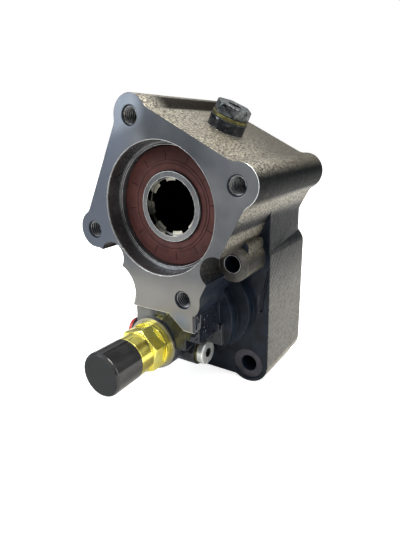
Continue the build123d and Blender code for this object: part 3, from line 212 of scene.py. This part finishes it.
# Finishes, with every length in millimetres. low and high: the two colours of the mottling; patch:
# its size; sharp: how hard its border is; rough: the span of roughness; sheen: the level of the
# reflection; grain and dent: size and depth of the fine bump; wave and swell: the same for slow
# unevenness; streak: scratches, as the direction across them, pitch, depth and shift of colour;
# ringPitch and ringDepth: turning marks about ringCentre. veils: places with another colour, each
# as colour, share, the spans that bound it and, for some, how much of the metal it takes away.
# dullVeils: what is under a veil also loses its sheen.
finishes = {
    "castPaint": dict(low=(0.028, 0.024, 0.018), high=(0.35, 0.325, 0.265), patch=1.25, metallic=0.55,
                      sharp=(0.385, 0.615), rough=(0.32, 0.50), grain=1.1, dent=0.36, wave=9.0,
                      swell=0.6, dullVeils=True,
                      # the far part of the top is browner
                      veils=[((0.052, 0.046, 0.036), 0.78,
                              [("along", above, 46, 48), ("along", (0.3, 1, 0), 22, 92)]),
                             # the right side is darker towards its top
                             ((0.008, 0.010, 0.014), 0.95,
                              [("along", toTop, -62, -34), ("along", toRight, 49.6, 51),
                               ("along", toBottom, -1, 7)]),
                             # painted shade on the long boss at the right
                             ((0.050, 0.046, 0.034), 0.65,
                              [("along", toRight, 34, 37), ("along", toLeft, -51.5, -50.5),
                               ("along", toBottom, 16, 20), ("along", toFront, -46, -44)]),
                             # painted shade on the front below the flange
                             ((0.012, 0.014, 0.020), 0.85,
                              [("along", toLeft, -48, -38), ("along", toFront, -43.5, -40),
                               ("along", toBottom, 8, 16)]),
                             # shade along the inner flank of the upper left lobe
                             ((0.006, 0.005, 0.004), 0.97,
                              [("along", across, -41.5, -38.5),
                               ("along", acrossBack, 28, 31),
                               ("along", above, 41, 44), ("along", toBack, 2, 24)],
                              0.95),
                             # shade along the outer side of the right lobe
                             ((0.005, 0.006, 0.007), 0.98,
                              [("along", toRight, 57, 60.5), ("along", toTop, 4, 9),
                               ("along", toBottom, -27, -20)], 0.5),
                             # the cut edge of the right lobe catches the light
                             ((0.80, 0.83, 0.86), 0.95,
                              [("away", (54.04, 16.73), 11.85, 12.05), ("along", toRight, 57, 60),
                               ("along", toFront, -0.56, -0.5)])]),
    "groundSide": dict(low=(0.036, 0.036, 0.034), high=(0.108, 0.105, 0.095), patch=2.4, metallic=0.5,
                       rough=(0.38, 0.52), grain=1.0, dent=0.10, wave=12.0, swell=0.4, dullVeils=True,
                       streak=((0, 0.80, -0.60), 2.4, 0.20, 0.16),
                       veils=[((0.016, 0.018, 0.022), 0.75, [("along", toTop, -66, -34)])]),
    # the cast paint in painted shade, for fronts, the lower block and the insides of the screw holes
    "castPaintInShade": dict(low=(0.002, 0.005, 0.010), high=(0.010, 0.016, 0.028), patch=11.0, metallic=0.0,
                     rough=(0.30, 0.52), grain=1.6, dent=0.07, wave=11.0, swell=0.5, sheen=0.22),
    "castWet": dict(low=(0.006, 0.008, 0.013), high=(0.014, 0.018, 0.026), patch=6.0, metallic=0.0,
                    rough=(0.04, 0.12), grain=4.2, dent=0.035, wave=6.5, swell=0.9, sheen=0.55,
                    veils=[((0.170, 0.170, 0.165), 0.9,
                            [("along", toLeft, 10, 16), ("along", (-0.35, 0, 1), -73, -69),
                             ("along", toFront, -5.6, -5.3)])]),
    "milledFace": dict(low=(0.080, 0.083, 0.090), high=(0.118, 0.120, 0.124), patch=18.0, metallic=0.55,
                       rough=(0.36, 0.48), grain=0.35, dent=0.010, ringPitch=1.1, ringDepth=0.014,
                       ringCentre=(95.0, 0, 60.0),
                       # painted reflection: lighter and warmer at the bottom, a bluish sheen near the
                       # lower tip, darker to the left and at the top middle, lighter at the upper left
                       veils=[((0.255, 0.245, 0.225), 0.85, [("along", toBottom, 30, 56)]),
                              ((0.200, 0.235, 0.290), 0.7, [("away", (14, -70), 10, 3)]),
                              ((0.082, 0.096, 0.124), 0.9, [("along", (-1, 0, 0.25), 14, 44)]),
                              ((0.170, 0.190, 0.220), 0.8, [("along", (-1, 0, 3.0), 150, 178)]),
                              ((0.018, 0.021, 0.026), 0.84, [("along", (0.35, 0, 1), 30, 43),
                                                             ("along", toRight, -15, -3),
                                                             ("along", toLeft, -52, -24)])]),
    # bare cut metal, partly its own colour and partly a painted highlight along the edges
    "cutEdgeHighlight": dict(low=(0.50, 0.50, 0.50), high=(0.72, 0.72, 0.70), patch=4.0, metallic=0.25,
                    rough=(0.3, 0.42), grain=0.6, dent=0.01),
    "ringFace": dict(low=(0.052, 0.049, 0.044), high=(0.105, 0.098, 0.088), patch=6.0, metallic=0.7,
                     rough=(0.28, 0.42), grain=0.5, dent=0.012),
    "footRing": dict(low=(0.040, 0.038, 0.048), high=(0.066, 0.062, 0.076), patch=6.0, metallic=0.5,
                     rough=(0.34, 0.46), grain=0.5, dent=0.012),
    "threadSteel": dict(low=(0.24, 0.25, 0.27), high=(0.52, 0.53, 0.55), patch=5.0, metallic=0.6,
                        rough=(0.26, 0.36), grain=0.6, dent=0.002),
    "markRubber": dict(low=(0.007, 0.004, 0.004), high=(0.012, 0.006, 0.006), patch=5.0, metallic=0.0,
                       rough=(0.6, 0.7), grain=0.6, dent=0.01, sheen=0.1),
    # bare milled metal, partly its own colour and partly a painted highlight along the rims
    "milledEdgeHighlight": dict(low=(0.42, 0.42, 0.42), high=(0.62, 0.62, 0.60), patch=7.0, metallic=0.9,
                       rough=(0.25, 0.38), grain=0.5, dent=0.01),
    "boredWall": dict(low=(0.050, 0.050, 0.054), high=(0.120, 0.120, 0.125), patch=20.0, metallic=0.6,
                      rough=(0.22, 0.36), grain=0.5, dent=0.008, ringPitch=0.7, ringDepth=0.006,
                      ringCentre=(0, 0, 0)),
    "sealRubber": dict(low=(0.066, 0.021, 0.018), high=(0.094, 0.031, 0.025), patch=9.0, metallic=0.0,
                       rough=(0.50, 0.66), grain=0.6, dent=0.02, wave=14.0, swell=0.1, sheen=0.22,
                       dullVeils=True,
                       # painted shadow of the bore's edge: the seal is darker towards its top
                       veils=[((0.012, 0.006, 0.006), 0.75, [("along", (0.25, 0, 1), 16, 38)])]),
    "hubSteel": dict(low=(0.130, 0.133, 0.140), high=(0.200, 0.198, 0.192), patch=16.0, metallic=1.0,
                     rough=(0.20, 0.30), grain=0.4, dent=0.002, ringPitch=0.5, ringDepth=0.004,
                     ringCentre=(0, 0, 0),
                     # painted highlight on the front faces of the lands, and painted shade deeper in
                     # the bore
                     veils=[((0.50, 0.47, 0.38), 0.9, [("along", toBack, 17.2, 17.6),
                                                       ("away", (0, 0), 18.3, 17.9)]),
                            ((0.006, 0.008, 0.014), 0.97, [("along", toBack, 18.3, 20.5),
                                                           ("away", (0, 0), 18.9, 18.2)])]),
    "gearSteel": dict(low=(0.30, 0.30, 0.30), high=(0.42, 0.41, 0.40), patch=6.0, metallic=1.0,
                      rough=(0.28, 0.42), grain=0.5, dent=0.01),
    "bearingSteel": dict(low=(0.58, 0.58, 0.60), high=(0.70, 0.70, 0.71), patch=8.0, metallic=1.0,
                         rough=(0.12, 0.2), grain=0.5, dent=0.002),
    "springSteel": dict(low=(0.06, 0.06, 0.062), high=(0.12, 0.12, 0.12), patch=4.0, metallic=0.8,
                        rough=(0.35, 0.5), grain=0.5, dent=0.01),
    "cageBrass": dict(low=(0.55, 0.38, 0.14), high=(0.68, 0.50, 0.22), patch=5.0, metallic=1.0,
                      rough=(0.25, 0.4), grain=0.5, dent=0.005),
    "bushBronze": dict(low=(0.42, 0.26, 0.12), high=(0.56, 0.37, 0.19), patch=6.0, metallic=1.0,
                       rough=(0.3, 0.42), grain=0.6, dent=0.008),
    "ringRubber": dict(low=(0.012, 0.012, 0.012), high=(0.022, 0.022, 0.022), patch=5.0, metallic=0.0,
                       rough=(0.5, 0.65), grain=0.5, dent=0.01),
    "zincPlate": dict(low=(0.80, 0.83, 0.83), high=(0.93, 0.95, 0.93), patch=9.0, metallic=0.6,
                      rough=(0.20, 0.30), grain=0.8, dent=0.002,
                      # painted shade inside the socket of the side plug
                      veils=[((0.010, 0.012, 0.014), 0.95, [("awayX", (31.0, -104.5), 3.6, 3.3),
                                                            ("along", toLeft, -20.9, -20.5)])]),
    "switchWasher": dict(low=(0.28, 0.27, 0.22), high=(0.40, 0.38, 0.32), patch=9.0, metallic=0.8,
                         rough=(0.26, 0.38), grain=0.5, dent=0.008),
    "switchBrass": dict(low=(0.93, 0.80, 0.12), high=(1.0, 0.93, 0.26), patch=9.0, metallic=0.8,
                        rough=(0.10, 0.20), grain=0.5, dent=0.006, ringPitch=0.6, ringDepth=0.006,
                        ringCentre=(-12.4, 0, -92.1),
                        # the collar mirrors darker things in bands
                        veils=[((0.20, 0.14, 0.012), 0.75, [("along", (-0.61, 0, 0.79), -65.5, -63.8),
                                                            ("along", (0.61, 0, -0.79), 60.2, 62.0),
                                                            ("along", toFront, 11.3, 11.8)]),
                               ((0.16, 0.11, 0.010), 0.75, [("along", (-0.61, 0, 0.79), -78.0, -76.0),
                                                            ("along", (0.61, 0, -0.79), 71.0, 73.0),
                                                            ("along", toFront, 11.3, 11.8)])]),
    "capPlastic": dict(low=(0.018, 0.018, 0.019), high=(0.028, 0.028, 0.029), patch=8.0, metallic=0.0,
                       rough=(0.05, 0.10), grain=0.8, dent=0.004,
                       # the flat end is greyer than the side
                       dullVeils=True,
                       veils=[((0.045, 0.046, 0.046), 1.0, [("along", toFront, 44.7, 44.95)])]),
    "redPlastic": dict(low=(0.55, 0.02, 0.012), high=(0.68, 0.035, 0.02), patch=5.0, metallic=0.0,
                       rough=(0.3, 0.4), grain=0.8, dent=0.01),
    "plugBlack": dict(low=(0.008, 0.010, 0.013), high=(0.150, 0.165, 0.165), patch=2.6, metallic=0.5,
                      rough=(0.06, 0.18), grain=0.7, dent=0.03),
    "washerMetal": dict(low=(0.09, 0.085, 0.03), high=(0.20, 0.18, 0.07), patch=3.0, metallic=0.8,
                        rough=(0.3, 0.45), grain=0.5, dent=0.02),
}

# How the patterns are built
pattern = {
    "sharp": (0.35, 0.65),
    "sheen": 0.5,
    "fineDetail": 4.0, "plainDetail": 3.0, "slowDetail": 2.0,
    # the roughness changes over shorter distances than the colour does
    "glossPatch": 0.6,
    "glossRange": (0.3, 0.7),
    # length of one wave of the wave texture at scale 1
    "waveLength": 0.314,
    "scratch": {"Distortion": 4.0, "Detail": 3.0, "Detail_Scale": 1.5},
    "turning": {"Distortion": 1.5, "Detail": 2.0},
}


def noise(tree, place, size, detail):
    texture = add(tree, "ShaderNodeTexNoise", Vector=place, Scale=1 / (size * mm), Detail=detail)
    return texture.outputs["Fac"]


def waves(tree, place, pitch, settings):
    scale = pattern["waveLength"] / (pitch * mm)
    return add(tree, "ShaderNodeTexWave", Vector=place, Scale=scale, **settings)


def span(tree, place, kind, what, start, end):
    # 0 before start and 1 past end, along a direction or by the distance from a line along Y or X
    if kind == "along":
        reach = add(tree, "ShaderNodeVectorMath", place, what, operation="DOT_PRODUCT")
    else:
        first, second = -what[0] * mm, -what[1] * mm
        flat, shift = (1, 0, 1), (first, 0, second)
        if kind == "awayX":
            flat, shift = (0, 1, 1), (0, first, second)
        moved = add(tree, "ShaderNodeVectorMath", place, flat, shift, operation="MULTIPLY_ADD")
        reach = add(tree, "ShaderNodeVectorMath", moved.outputs["Vector"], operation="LENGTH")
    low, high = sorted((start, end))
    share = add(tree, "ShaderNodeMapRange", Value=reach.outputs["Value"], From_Min=low * mm,
                From_Max=high * mm, To_Min=float(start > end), To_Max=float(start < end))
    share.interpolation_type = "SMOOTHSTEP"
    return share.outputs["Result"]


def makeMottle(tree, place, v, lines):
    spread = noise(tree, place, v["patch"], pattern["fineDetail"])
    if lines:
        shift = v["streak"][3]
        spread = add(tree, "ShaderNodeMath", lines, shift, spread, operation="MULTIPLY_ADD").outputs[0]
    mottle = add(tree, "ShaderNodeValToRGB", Fac=spread)
    stops = mottle.color_ramp.elements
    stops[0].position, stops[1].position = v.get("sharp", pattern["sharp"])
    stops[0].color, stops[1].color = (*v["low"], 1), (*v["high"], 1)
    return mottle.outputs["Color"]


def makeVeils(tree, place, v, colour):
    # the colour under its veils, and the parts of the sheen and of the metal that they leave
    sheen = metal = None
    for tint, amount, bounds, *loss in v.get("veils", []):
        share = None
        for bound in bounds:
            edge = span(tree, place, *bound)
            share = multiply(tree, share, edge) if share else edge
        cover = multiply(tree, share, float(amount))
        blend = tree.nodes.new("ShaderNodeMix")
        blend.data_type = "RGBA"
        for name, value in (("Factor", cover), ("A", colour), ("B", (*tint, 1))):
            setInput(tree, blend.inputs[name], value)
        colour = blend.outputs["Result"]
        if v.get("dullVeils"):
            left = lessen(tree, cover, 1)
            sheen = multiply(tree, sheen, left) if sheen else left
        if loss:
            left = lessen(tree, share, loss[0])
            metal = multiply(tree, metal, left) if metal else left
    return colour, sheen, metal


def makeRelief(tree, place, v, lines):
    layers = [(noise(tree, place, v["grain"], pattern["plainDetail"]), v["dent"])]
    if "wave" in v:
        layers.append((noise(tree, place, v["wave"], pattern["slowDetail"]), v["swell"]))
    if "ringPitch" in v:
        shift = [-c * mm for c in v["ringCentre"]]
        centred = add(tree, "ShaderNodeMapping", Vector=place, Location=shift)
        marks = waves(tree, centred.outputs[0], v["ringPitch"], pattern["turning"])
        marks.wave_type, marks.rings_direction = "RINGS", "Y"
        layers.append((marks.outputs["Fac"], v["ringDepth"]))
    if lines:
        layers.append((lines, v["streak"][2]))
    surface = None
    for height, depth in layers:
        bump = add(tree, "ShaderNodeBump", Distance=depth * mm, Height=height)
        if surface:
            tree.links.new(surface, bump.inputs["Normal"])
        surface = bump.outputs["Normal"]
    return surface


def makeFinish(name, v):
    material, tree = newNodeMaterial(name)
    shader = tree.nodes["Principled BSDF"].inputs
    place = add(tree, "ShaderNodeTexCoord").outputs["Object"]
    lines = None
    if "streak" in v:
        direction, pitch = v["streak"][:2]
        reach = add(tree, "ShaderNodeVectorMath", place, direction, operation="DOT_PRODUCT")
        lines = waves(tree, reach.outputs["Value"], pitch, pattern["scratch"]).outputs["Fac"]
    colour, sheenLeft, metalLeft = makeVeils(tree, place, v, makeMottle(tree, place, v, lines))
    tree.links.new(colour, shader["Base Color"])

    fine = noise(tree, place, v["patch"] * pattern["glossPatch"], pattern["plainDetail"])
    (low, high), (least, most) = pattern["glossRange"], v["rough"]
    gloss = add(tree, "ShaderNodeMapRange", Value=fine, From_Min=low, From_Max=high,
                To_Min=least, To_Max=most)
    tree.links.new(gloss.outputs["Result"], shader["Roughness"])

    sheen, metal = v.get("sheen", pattern["sheen"]), v["metallic"]
    if sheenLeft:
        sheen = multiply(tree, sheenLeft, sheen)
    if metalLeft:
        metal = multiply(tree, metalLeft, metal)
    setInput(tree, shader["Specular IOR Level"], sheen)
    setInput(tree, shader["Metallic"], metal)
    tree.links.new(makeRelief(tree, place, v, lines), shader["Normal"])
    return material


materials = {name: makeFinish(name, values) for name, values in finishes.items()}
slotFinish = {
    "cast_body": "castPaint", "seal_rubber": "sealRubber", "hub_steel": "hubSteel",
    "gear_steel": "gearSteel", "bearing_steel": "bearingSteel", "cage_brass": "cageBrass",
    "spring_steel": "springSteel", "bush_bronze": "bushBronze", "ring_rubber": "ringRubber",
    "zinc_steel": "zincPlate", "switch_brass": "switchBrass", "cap_plastic": "capPlastic",
    "plug_plastic": "redPlastic", "plug_black": "plugBlack", "washer_soft": "washerMetal",
}
nodeFinish = {"switch_washer": "switchWasher", "bearing_carrier": "ringFace"}
slotOf = {part["node"]: part["material_slot"] for part in record["subparts"]}
for name, slot in slotOf.items():
    node = nodes[name]
    node.data.materials.clear()
    node.data.materials.append(materials[nodeFinish.get(name, slotFinish[slot])])
print("finishes")

# Rounded copies of the housing and the outer fittings. Points nearer than the gap become one, faces
# flatter than this many degrees join, and edges past the corner angle are rounded
rounding = {"gap": 0.002, "flat": 0.6, "corner": 30, "steps": 2, "tries": 4}
bodyOf = {node: name for name, members in record["behaviour"]["bodies"].items() for node in members}


def mergedShape(mesh):
    shape = bmesh.new()
    shape.from_mesh(mesh)
    bmesh.ops.remove_doubles(shape, verts=shape.verts, dist=rounding["gap"] * mm)
    return shape


def solidShape(mesh):
    # flat faces are whole again, and only real corners stay sharp in the shading
    shape = mergedShape(mesh)
    bmesh.ops.dissolve_limit(shape, angle_limit=radians(rounding["flat"]), verts=shape.verts,
                             edges=shape.edges)
    for face in shape.faces:
        face.smooth = True
    for edge in shape.edges:
        if len(edge.link_faces) == 2 and edge.calc_face_angle(0) > radians(rounding["corner"]):
            edge.smooth = False
    return shape


def closeTangles(mesh):
    # where three walls meet inside, the rounding can leave a tangle: it is cut out and closed flat
    shape = bmesh.new()
    shape.from_mesh(mesh)
    changed = False
    for attempt in range(rounding["tries"]):
        torn = {v for edge in shape.edges if len(edge.link_faces) != 2 for v in edge.verts}
        if not torn:
            break
        faces = list({face for v in torn for face in v.link_faces})
        bmesh.ops.delete(shape, geom=faces, context="FACES")
        rims = [edge for edge in shape.edges if len(edge.link_faces) == 1]
        bmesh.ops.holes_fill(shape, edges=rims, sides=0)
        changed = True
    if changed:
        shape.to_mesh(mesh)
    shape.free()


def finalMesh(piece):
    # the mesh that the modifiers make, which then go
    bpy.context.view_layer.update()
    ready = piece.evaluated_get(bpy.context.evaluated_depsgraph_get())
    mesh = bpy.data.meshes.new_from_object(ready)
    piece.modifiers.clear()
    return mesh


def roundEdges(piece, width):
    corners = [v.co.copy() for v in piece.data.vertices]
    low, high = ([pick(c[k] for c in corners) for k in range(3)] for pick in (min, max))
    sharp = BVHTree.FromPolygons(corners, [list(face.vertices) for face in piece.data.polygons])
    bevel = piece.modifiers.new("edges", "BEVEL")
    bevel.width, bevel.segments = width * mm, rounding["steps"]
    bevel.limit_method, bevel.angle_limit = "ANGLE", radians(rounding["corner"])
    bevel.use_clamp_overlap = False
    bevel.miter_outer = "MITER_ARC"
    bevel.harden_normals = True
    mesh = finalMesh(piece)
    for v in mesh.vertices:
        # a corner that the rounding threw off goes back to the surface, and none leaves the old box
        near, _, _, gap = sharp.find_nearest(v.co)
        if gap > width * mm:
            v.co = near
        v.co = [min(max(v.co[k], low[k]), high[k]) for k in range(3)]
    closeTangles(mesh)
    piece.data = mesh


# Outer fittings and the width of their broken edges
softened = {
    "fill_plug": 0.45, "fill_washer": 0.25, "side_plug": 0.35, "side_plug_washer": 0.2,
    "switch_body": 0.30, "switch_washer": 0.25, "port_plug": 0.4,
}


def softenNode(name, width):
    source = nodes[name]
    mesh = bpy.data.meshes.new(name + "Soft")
    shape = solidShape(source.data)
    shape.to_mesh(mesh)
    shape.free()
    mesh.materials.append(source.data.materials[0])
    piece = newObject(name + "Soft", mesh)
    roundEdges(piece, width)
    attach(piece, bodyOf[name])
    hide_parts(name)


def makeSpring():
    # a merged copy of the return spring, held by the housing; the real spring shortens towards its
    # fixed end as the piston moves, which this copy does not
    mesh = nodes["return_spring"].data.copy()
    shape = mergedShape(mesh)
    shape.to_mesh(mesh)
    shape.free()
    piece = newObject("returnSpring", mesh)
    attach(piece, "housing")
    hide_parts("return_spring")
    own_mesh(piece)


# Cast body
body = {
    "edge": 0.55,
    # planes across Y that are machined: place and finish
    "machinedPlanes": ((0.0, "milledFace"), (21.5, "ringFace"), (45.6, "footRing"),
                       (103.0, "milledFace")),
    "planeSlack": 0.02,
    # how nearly along Y a machined face looks, and from where on a face counts as a front
    "squareTo": 0.999,
    "front": -0.45,
    # axis x, axis z, least and largest radius, first and last y
    "rim": (0, 0, 39.1, 41.5, -0.1, 0.9),
    "bores": [(0, 0, 0, 40.2, -1, 14), (0, 0, 0, 37.6, 10, 103), (0, -73, 0, 48.2, 44.5, 104)],
    # axes of the four holes for the screws to the gearbox, and the largest radius
    "screwHoles": ((39.5, -33.35), (-39.5, -33.35), (39.5, -112.65), (-39.5, -112.65)),
    "screwHoleRadius": 5.9,
    # the ways for the upper screws are bored wider, back to this y
    "screwWay": (9.3, 21.6),
    # regions by x, y and z, each with the range of the normal along one axis
    "regions": [
        ("castPaint", ((30, 56), (43.9, 44.1), (-24, 5)), 1, (-1.1, -0.9)),
        ("cutEdgeHighlight", ((-60, 24.2), (-0.1, 1.6), (-84.2, -60)), 1, (-0.95, -0.3)),
        ("castWet", ((-30, 30), (-1, 31), (-127, -64)), 1, (-1.1, 0.3)),
        ("groundSide", ((54.3, 54.7), (-1, 104), (-127, -20)), 0, (0.95, 1.1)),
        ("groundSide", ((-54.7, -54.3), (-1, 104), (-127, -20)), 0, (-1.1, -0.95)),
        # painted shade over the lower block behind the flange
        ("castPaintInShade", ((-50, 53.9), (0.5, 47), (-125, -40)), 1, (-0.9, 1.1)),
    ],
    # a boss beside the fill plug, in the dark glossy finish: place, radius and how far it stands out
    "glossyBoss": ((19.5, 48.0, 45.6), 13.5, 49.7),
    "finishes": ("castPaint", "castPaintInShade", "castWet", "milledFace", "milledEdgeHighlight", "boredWall", "cutEdgeHighlight",
                 "ringFace", "footRing", "groundSide"),
}


def inRing(c, x, z, inner, outer, first, last):
    return inner <= hypot(c.x - x, c.z - z) < outer and first < c.y < last


def faceFinish(face):
    c = face.calc_center_median() / mm
    n = face.normal
    if abs(n.y) > body["squareTo"]:
        for y, finish in body["machinedPlanes"]:
            if abs(c.y - y) < body["planeSlack"]:
                return finish
    if inRing(c, *body["rim"]):
        return "milledEdgeHighlight"
    if any(inRing(c, *bore) for bore in body["bores"]):
        return "boredWall"
    wayRadius, wayEnd = body["screwWay"]
    for x, z in body["screwHoles"]:
        reach = hypot(c.x - x, c.z - z)
        # painted shade inside the screw holes
        if reach < body["screwHoleRadius"]:
            return "castPaintInShade"
        if reach < wayRadius and c.y < wayEnd:
            return "boredWall"
    for finish, spans, axis, (least, most) in body["regions"]:
        inside = all(low < value < high for value, (low, high) in zip(c, spans))
        if inside and least < n[axis] < most:
            return finish
    place, radius, height = body["glossyBoss"]
    if (c - Vector(place)).length < radius and c.x * sin(turn) + c.z * cos(turn) > height:
        return "castWet"
    # faces turned to the front take the cast paint in painted shade
    return "castPaintInShade" if n.y < body["front"] else "castPaint"


def makeBody():
    mesh = bpy.data.meshes.new("castBody")
    shape = solidShape(nodes["housing"].data)
    for face in shape.faces:
        face.material_index = body["finishes"].index(faceFinish(face))
    shape.to_mesh(mesh)
    shape.free()
    for name in body["finishes"]:
        mesh.materials.append(materials[name])
    piece = newObject("castBody", mesh)
    roundEdges(piece, body["edge"])
    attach(piece, "housing")
    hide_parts("housing")


for name, width in softened.items():
    softenNode(name, width)
makeSpring()
makeBody()

# Details by geometry nodes


def newTree(name, *sizes):
    tree = bpy.data.node_groups.new(name, "GeometryNodeTree")
    tree.interface.new_socket("Places", in_out="INPUT", socket_type="NodeSocketGeometry")
    for size in sizes:
        tree.interface.new_socket(size, in_out="INPUT", socket_type="NodeSocketFloat")
    tree.interface.new_socket("Result", in_out="OUTPUT", socket_type="NodeSocketGeometry")
    return tree, tree.nodes.new("NodeGroupInput"), tree.nodes.new("NodeGroupOutput")


def closeTree(tree, shape, output, finish):
    loose = add(tree, "GeometryNodeRealizeInstances", Geometry=shape)
    painted = add(tree, "GeometryNodeSetMaterial", Geometry=loose.outputs[0],
                  Material=materials[finish])
    tree.links.new(painted.outputs[0], output.inputs[0])


def runTree(name, tree, points, values, bodyName):
    base = bpy.data.meshes.new(name)
    base.from_pydata([Vector(p) * mm for p in points], [], [])
    piece = newObject(name, base)
    modifier = piece.modifiers.new("build", "NODES")
    modifier.node_group = tree
    for item in tree.interface.items_tree:
        if item.in_out == "INPUT" and item.name in values:
            modifier[item.identifier] = float(values[item.name])
    piece.data = finalMesh(piece)
    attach(piece, bodyName)


# Coil of a thread, its axis along Y, at each tapped hole
thread = {
    "Pitch": 1.75 * mm, "Radius": 5.10 * mm, "Ridge": 0.36 * mm, "Turns": 12.5, "Start": 0.9 * mm,
}
tapPlaces = [(54.04, 0, 16.73), (-16.73, 0, 54.04), (16.73, 0, -54.04), (-54.04, 0, -16.73)]
coilSteps, ridgeSides = 64, 4


def makeThreads():
    tree, source, output = newTree("tapThread", *thread)
    size = source.outputs
    coil = add(tree, "GeometryNodeCurveSpiral", Resolution=coilSteps, Rotations=size["Turns"],
               Start_Radius=size["Radius"], End_Radius=size["Radius"],
               Height=multiply(tree, size["Pitch"], size["Turns"]))
    ridge = add(tree, "GeometryNodeCurvePrimitiveCircle", Resolution=ridgeSides, Radius=size["Ridge"])
    swept = add(tree, "GeometryNodeCurveToMesh", Curve=coil.outputs[0], Profile_Curve=ridge.outputs[0],
                Fill_Caps=True)
    shift = add(tree, "ShaderNodeCombineXYZ", Y=size["Start"])
    laid = add(tree, "GeometryNodeTransform", Geometry=swept.outputs[0], Translation=shift.outputs[0],
               Rotation=(-pi / 2, 0, 0))
    placed = add(tree, "GeometryNodeInstanceOnPoints", Points=size["Places"], Instance=laid.outputs[0])
    closeTree(tree, placed.outputs[0], output, "threadSteel")
    runTree("tapThreads", tree, tapPlaces, thread, "housing")


# Thin radial marks moulded on the face of the shaft seal
sealMark = {"Length": 8.6 * mm, "Width": 0.42 * mm, "Height": 0.14 * mm}
sealRing = {"count": 12, "phase": 5.0, "radius": 31.6, "face": 14.33}


def makeSealMarks():
    tree, source, output = newTree("sealMarks", *sealMark)
    size = source.outputs
    block = add(tree, "ShaderNodeCombineXYZ", X=size["Length"], Y=size["Height"], Z=size["Width"])
    mark = add(tree, "GeometryNodeMeshCube", Size=block.outputs[0])
    spot = add(tree, "GeometryNodeInputPosition")
    outward = add(tree, "ShaderNodeVectorMath", spot.outputs[0], (1, 0, 1), operation="MULTIPLY")
    aim = add(tree, "FunctionNodeAlignEulerToVector", Vector=outward.outputs[0])
    aim.axis, aim.pivot_axis = "X", "Y"
    placed = add(tree, "GeometryNodeInstanceOnPoints", Points=size["Places"], Instance=mark.outputs[0],
                 Rotation=aim.outputs[0])
    closeTree(tree, placed.outputs[0], output, "markRubber")
    count, radius = sealRing["count"], sealRing["radius"]
    turns = [radians(sealRing["phase"] + 360 * i / count) for i in range(count)]
    places = [(radius * cos(a), sealRing["face"], radius * sin(a)) for a in turns]
    runTree("sealMarks", tree, places, sealMark, "housing")


# Thin beads that run round an axis along Y: axis x and z, radius, y, half width, finish, body, slot
beads = {
    # the bright beads are painted highlights along rims and edges
    "screwRim": (39.5, -33.35, 5.62, 21.46, 0.14, "cutEdgeHighlight", "housing", "cast_body"),
    "boreRimOuter": (0, 0, 38.95, 10.98, 0.13, "milledEdgeHighlight", "housing", "cast_body"),
    "boreRimInner": (0, 0, 37.62, 11.05, 0.16, "milledEdgeHighlight", "housing", "cast_body"),
    "sealLipLine": (0, 0, 26.6, 14.05, 0.16, "markRubber", "housing", "seal_rubber"),
    "hubRimOuter": (0, 0, 21.75, 13.46, 0.16, "cutEdgeHighlight", "output", "hub_steel"),
    "hubRimInner": (0, 0, 18.55, 13.46, 0.14, "cutEdgeHighlight", "output", "hub_steel"),
}
beadSteps, beadSides = 180, 6


def makeBead(name, x, z, radius, y, half, finish, bodyName, slot):
    points, faces = [], []
    for i in range(beadSteps):
        a = 2 * pi * i / beadSteps
        here, there = i * beadSides, (i + 1) % beadSteps * beadSides
        for k in range(beadSides):
            b = 2 * pi * k / beadSides
            reach = radius + half * cos(b)
            points.append(Vector((x + reach * cos(a), y + half * sin(b), z + reach * sin(a))) * mm)
            after = (k + 1) % beadSides
            faces.append((here + k, here + after, there + after, there + k))
    mesh = bpy.data.meshes.new(name)
    mesh.from_pydata(points, [], faces)
    for face in mesh.polygons:
        face.use_smooth = True
    mesh.materials.append(materials[finish])
    piece = newObject(name, mesh)
    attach(piece, bodyName)


makeThreads()
makeSealMarks()
for name, values in beads.items():
    makeBead(name, *values)
print("details")
